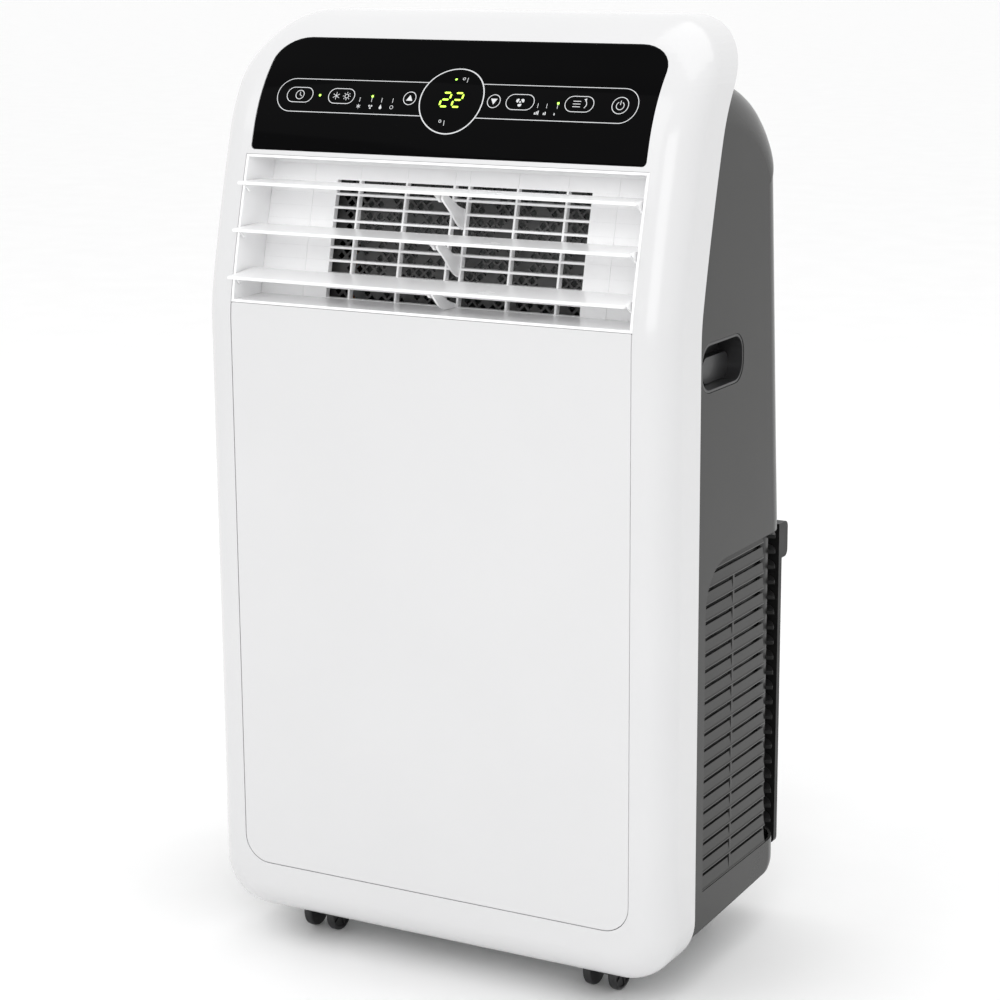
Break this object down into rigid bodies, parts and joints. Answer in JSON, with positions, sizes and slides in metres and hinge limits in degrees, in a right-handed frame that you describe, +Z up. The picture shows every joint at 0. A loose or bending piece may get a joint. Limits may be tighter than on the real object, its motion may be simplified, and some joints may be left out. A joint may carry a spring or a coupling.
{
  "type": "portable air conditioner",
  "caption": "Free-standing room air conditioner on casters: white front shell with a swinging louvred outlet and touch fascia, grey rear housing, side slats and a round exhaust outlet.",
  "frame": {"origin": "on the floor under the centre of the bounding box", "axes": "+Z up, -Y towards the front louvres and fascia, +X to the right as seen from the front"},
  "size_m": [0.445, 0.3109, 0.819],
  "materials": {
    "white": "gloss",
    "piano_black": "high gloss",
    "grey": "semi gloss",
    "black": "fine texture",
    "dark_mesh": "satin",
    "circuit_board": "satin",
    "inner_plastic": "matte",
    "zinc_steel": "galvanised",
    "filter_net": "woven net",
    "rubber": "matte",
    "compressor_black": "satin",
    "fins": "satin",
    "copper": "drawn",
    "caster_black": "satin",
    "caster_wheel": "matte"
  },
  "bodies": {
    "cabinet": {"front_shell": "white", "front_panel": "white", "outlet_duct": "white", "outlet_grille": "white", "louvre_support_lower": "white", "louvre_support_middle": "white", "louvre_support_upper": "white", "control_fascia": "piano_black", "control_board": "circuit_board", "outlet_guard": "dark_mesh", "swing_motor": "zinc_steel", "rear_housing": "grey", "side_grille_left": "grey", "side_grille_right": "grey", "grip_cup_left": "grey", "grip_cup_right": "grey", "rear_grille": "black", "exhaust_collar": "black", "drain_port": "black", "cord_gland": "black", "base_pan": "inner_plastic", "compressor": "compressor_black", "condenser_coil": "fins", "evaporator_coil": "fins", "exhaust_scroll": "inner_plastic", "exhaust_fan_motor": "zinc_steel", "discharge_pipe": "copper", "suction_pipe": "copper", "drain_deck": "inner_plastic", "blower_motor": "zinc_steel", "blower_housing": "inner_plastic", "electrical_box": "zinc_steel", "run_capacitor": "fins", "housing_screw_1": "zinc_steel", "housing_screw_2": "zinc_steel", "housing_screw_3": "zinc_steel", "housing_screw_4": "zinc_steel"},
    "louvre_lower": {"louvre_lower": "white"},
    "louvre_middle": {"louvre_middle": "white"},
    "louvre_upper": {"louvre_upper": "white"},
    "louvre_link": {"louvre_link": "inner_plastic"},
    "blower_wheel": {"blower_wheel": "inner_plastic"},
    "exhaust_fan_wheel": {"exhaust_fan_wheel": "inner_plastic"},
    "filter": {"filter_frame": "black", "filter_net": "filter_net"},
    "drain_cap_upper": {"drain_cap_upper": "rubber"},
    "drain_cap_lower": {"drain_cap_lower": "rubber"},
    "caster_front_left_hood": {"caster_front_left_hood": "caster_black"},
    "caster_front_left_wheels": {"caster_front_left_wheels": "caster_wheel"},
    "caster_front_right_hood": {"caster_front_right_hood": "caster_black"},
    "caster_front_right_wheels": {"caster_front_right_wheels": "caster_wheel"},
    "caster_rear_left_hood": {"caster_rear_left_hood": "caster_black"},
    "caster_rear_left_wheels": {"caster_rear_left_wheels": "caster_wheel"},
    "caster_rear_right_hood": {"caster_rear_right_hood": "caster_black"},
    "caster_rear_right_wheels": {"caster_rear_right_wheels": "caster_wheel"}
  },
  "joints": [
    {"name": "louvre_lower_tilt", "type": "hinge", "parent": "cabinet", "child": "louvre_lower", "pos_m": [0, -0.13705, 0.5975], "axis": [1, 0, 0], "range_deg": [-20, 68]},
    {"name": "louvre_middle_tilt", "type": "hinge", "parent": "cabinet", "child": "louvre_middle", "pos_m": [0, -0.12825, 0.6357], "axis": [1, 0, 0], "range_deg": [-20, 68]},
    {"name": "louvre_upper_tilt", "type": "hinge", "parent": "cabinet", "child": "louvre_upper", "pos_m": [0, -0.11842, 0.6739], "axis": [1, 0, 0], "range_deg": [-20, 68]},
    {"name": "louvre_link_turn", "type": "hinge", "parent": "louvre_middle", "child": "louvre_link", "pos_m": [-0.2017, -0.11842, 0.62882], "axis": [1, 0, 0], "range_deg": [-68, 20]},
    {"name": "blower_spin", "type": "hinge", "parent": "cabinet", "child": "blower_wheel", "pos_m": [0, -0.0025, 0.622], "axis": [1, 0, 0], "continuous": true},
    {"name": "exhaust_fan_spin", "type": "hinge", "parent": "cabinet", "child": "exhaust_fan_wheel", "pos_m": [0.045, 0.0325, 0.25], "axis": [0, 1, 0], "continuous": true},
    {"name": "filter_tilt", "type": "hinge", "parent": "cabinet", "child": "filter", "pos_m": [0, 0.12386, 0.5368], "axis": [-1, 0, 0], "range_deg": [0, 60]},
    {"name": "drain_cap_upper_pull", "type": "slide", "parent": "cabinet", "child": "drain_cap_upper", "axis": [0, 1, 0], "range_m": [0, 0.02]},
    {"name": "drain_cap_lower_pull", "type": "slide", "parent": "cabinet", "child": "drain_cap_lower", "axis": [0, 0, -1], "range_m": [0, 0.016]},
    {"name": "caster_front_left_swivel", "type": "hinge", "parent": "cabinet", "child": "caster_front_left_hood", "pos_m": [-0.142, -0.0995, 0.0435], "axis": [0, 0, 1], "continuous": true},
    {"name": "caster_front_left_roll", "type": "hinge", "parent": "caster_front_left_hood", "child": "caster_front_left_wheels", "pos_m": [-0.142, -0.0895, 0.0165], "axis": [1, 0, 0], "continuous": true},
    {"name": "caster_front_right_swivel", "type": "hinge", "parent": "cabinet", "child": "caster_front_right_hood", "pos_m": [0.142, -0.0995, 0.0435], "axis": [0, 0, 1], "continuous": true},
    {"name": "caster_front_right_roll", "type": "hinge", "parent": "caster_front_right_hood", "child": "caster_front_right_wheels", "pos_m": [0.142, -0.0895, 0.0165], "axis": [1, 0, 0], "continuous": true},
    {"name": "caster_rear_left_swivel", "type": "hinge", "parent": "cabinet", "child": "caster_rear_left_hood", "pos_m": [-0.142, 0.0575, 0.0435], "axis": [0, 0, 1], "continuous": true},
    {"name": "caster_rear_left_roll", "type": "hinge", "parent": "caster_rear_left_hood", "child": "caster_rear_left_wheels", "pos_m": [-0.142, 0.0675, 0.0165], "axis": [1, 0, 0], "continuous": true},
    {"name": "caster_rear_right_swivel", "type": "hinge", "parent": "cabinet", "child": "caster_rear_right_hood", "pos_m": [0.142, 0.0575, 0.0435], "axis": [0, 0, 1], "continuous": true},
    {"name": "caster_rear_right_roll", "type": "hinge", "parent": "caster_rear_right_hood", "child": "caster_rear_right_wheels", "pos_m": [0.142, 0.0675, 0.0165], "axis": [1, 0, 0], "continuous": true}
  ],
  "couplings": [
    {"joint": "louvre_lower_tilt", "follows": "louvre_middle_tilt", "ratio": 1},
    {"joint": "louvre_upper_tilt", "follows": "louvre_middle_tilt", "ratio": 1},
    {"joint": "louvre_link_turn", "follows": "louvre_middle_tilt", "ratio": -1}
  ]
}
